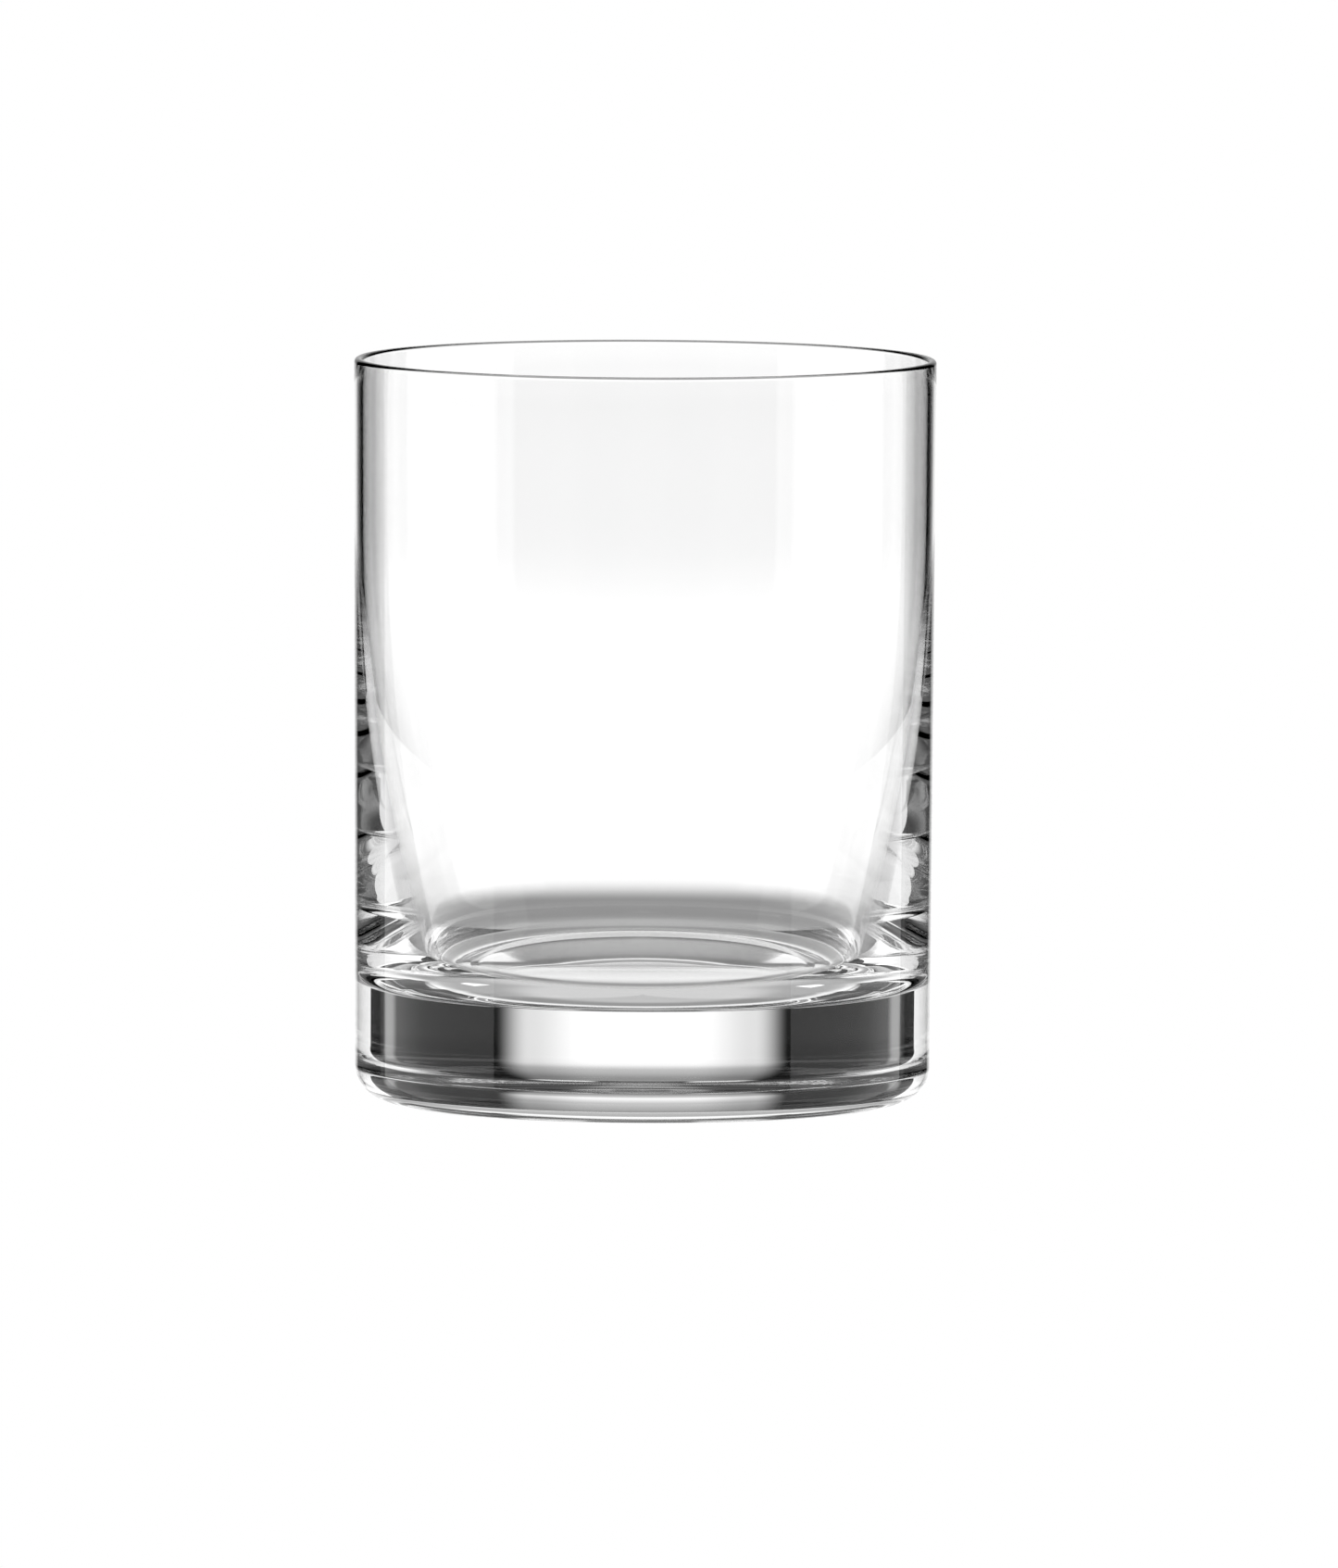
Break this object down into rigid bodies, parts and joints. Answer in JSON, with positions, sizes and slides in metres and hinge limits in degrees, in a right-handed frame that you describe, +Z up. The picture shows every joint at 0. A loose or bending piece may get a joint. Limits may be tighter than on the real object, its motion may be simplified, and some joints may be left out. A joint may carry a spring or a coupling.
{
  "type": "whiskey tumbler",
  "caption": "Straight-sided clear glass tumbler with a thin rounded rim, a thick solid base and a cavity that rounds off into the floor.",
  "frame": {"origin": "on the glass's axis, at the plane it stands on", "axes": "+Z up along the axis, towards the rim; the glass is the same all round, so X and Y are any two directions across it"},
  "size_m": [0.08, 0.08, 0.102],
  "materials": {
    "clear_glass": "fire-polished, clear and smooth"
  },
  "bodies": {
    "root": {"tumbler": "clear_glass"}
  },
  "joints": []
}
